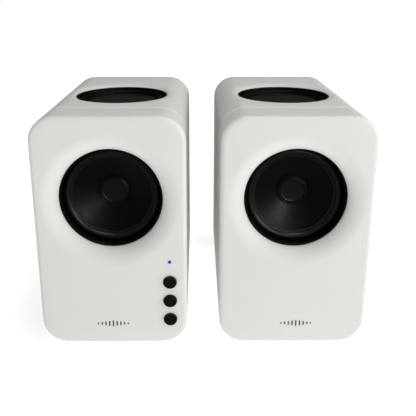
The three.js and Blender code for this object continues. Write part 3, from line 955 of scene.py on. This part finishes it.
@cached
def steel():
    s = Surface("plated_steel", (0.56, 0.57, 0.58), 0.32, 1.0)
    s.vary_roughness(s.noise(3, 4), 0.08)
    s.emboss(s.noise(0.4, 3), 0.006)
    return s.material


@cached
def black_paint():
    s = Surface("black_paint", (0.016, 0.016, 0.017), 0.4)
    s.vary_roughness(s.noise(2, 4), 0.08)
    s.emboss(s.noise(0.7, 3), 0.015)
    return s.material


@cached
def ferrite():
    s = Surface("ferrite", (0.045, 0.045, 0.05), 0.7)
    s.vary_colour(s.noise(4, 5), 0.7, 1.3)
    s.emboss(s.noise(0.8, 5), 0.03)
    return s.material


@cached
def copper():
    s = Surface("copper_wire", (0.62, 0.26, 0.09), 0.35, 0.9)
    s.vary_roughness(s.noise(1, 3), 0.06)
    return s.material


@cached
def cotton():
    s = Surface("spider_cloth", (0.52, 0.33, 0.12), 0.85)
    s.vary_colour(s.noise(0.7, 4), 0.75, 1.2)
    s.emboss(s.noise(0.5, 4), 0.05)
    return s.material


@cached
def circuit_board():
    s = Surface("circuit_board", (0.012, 0.11, 0.05), 0.4)
    s.vary_colour(s.noise(5, 5), 0.75, 1.25)
    s.emboss(s.noise(1.2, 2), 0.02)
    return s.material


@cached
def cable_sleeve():
    s = Surface("cable_sleeve", (0.02, 0.02, 0.022), 0.5)
    s.vary_roughness(s.noise(4, 3), 0.06)
    s.emboss(s.noise(0.9, 3), 0.02)
    return s.material


def finish_piece(piece, body, slot, material, *nodes):
    """Gives the piece its material, and has it ride on its body in place of the nodes. The slot is not
    used.
    """
    piece.data.materials.clear()
    piece.data.materials.append(material())
    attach(piece, body)
    if nodes:
        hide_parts(*nodes)


# ---- Boards and leads keep their solids, with finished materials

def carried_over():
    finishes = {"main_board": circuit_board, "button_board": circuit_board, "driver_lead": cable_sleeve}
    for name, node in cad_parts.items():
        material = next((m for key, m in finishes.items() if name.endswith(key)), None)
        if material:
            node.data.materials.clear()
            node.data.materials.append(material())


# ---- Studio

def area_light(name, place, size, power, colour):
    data = bpy.data.lights.new(name, "AREA")
    data.shape = "DISK"
    data.size = size
    data.energy = power
    data.color = colour
    light = bpy.data.objects.new(name, data)
    light.location = place
    aim = Vector((0, 0, HEIGHT * MM / 2)) - Vector(place)
    light.rotation_euler = aim.to_track_quat("-Z", "Y").to_euler()
    bpy.context.scene.collection.objects.link(light)


def studio():
    """A white floor that glows more with distance, under an even white sky, with a light at the
    right, one in front and one overhead."""
    mesh = bpy.data.meshes.new("floor")
    corners = [(x * FLOOR_REACH, y * FLOOR_REACH, 0) for x, y in ((-1, -1), (1, -1), (1, 1), (-1, 1))]
    mesh.from_pydata(corners, [], [(0, 1, 2, 3)])
    floor = bpy.data.objects.new("floor", mesh)
    bpy.context.scene.collection.objects.link(floor)
    s = Surface("floor", (0.92, 0.92, 0.92), 0.95)
    s.vary_colour(s.noise(400, 2), 0.995, 1.0)
    s.shader.inputs["Specular IOR Level"].default_value = 0.1
    s.shader.inputs["Emission Color"].default_value = (1, 1, 1, 1)
    away = s.node("ShaderNodeVectorMath", operation="LENGTH")
    s.link(s.coordinates, away.inputs[0])
    glow = s.node("ShaderNodeMapRange")
    glow.inputs["From Min"].default_value = FLOOR_GLOW["from"]
    glow.inputs["From Max"].default_value = FLOOR_GLOW["to"]
    glow.inputs["To Min"].default_value = FLOOR_GLOW["near"]
    glow.inputs["To Max"].default_value = FLOOR_GLOW["far"]
    s.link(away.outputs["Value"], glow.inputs["Value"])
    s.link(glow.outputs["Result"], s.shader.inputs["Emission Strength"])
    mesh.materials.append(s.material)
    floor.visible_glossy = False

    world = bpy.data.worlds.new("studio")
    bpy.context.scene.world = world
    world.use_nodes = True
    tree = world.node_tree
    background = tree.nodes["Background"]
    background.inputs["Color"].default_value = (1.0, 1.0, 1.0, 1)
    rays = tree.nodes.new("ShaderNodeLightPath")
    strength = None
    for ray, level in (("Is Glossy Ray", SKY_REFLECTED), ("Is Camera Ray", SKY_SEEN)):
        mix = tree.nodes.new("ShaderNodeMix")
        mix.inputs["A"].default_value = SKY_LIGHT
        mix.inputs["B"].default_value = level
        tree.links.new(rays.outputs[ray], mix.inputs["Factor"])
        if strength is not None:
            tree.links.new(strength, mix.inputs["A"])
        strength = mix.outputs["Result"]
    tree.links.new(strength, background.inputs["Strength"])
    for name, light in LIGHTS.items():
        area_light(name, **light)
    bpy.context.scene.view_settings.view_transform = "Standard"


# ---- Build

make_camera()
studio()
for side in SIDES:
    front_cover(side)
    cabinet_shell(side)
    rear_cover(side)
    feet(side)
    rear_screws(side)
    driver(side)
    radiator(side)
    sockets(side)
    level_mark(side)
buttons()
status_light()
carried_over()
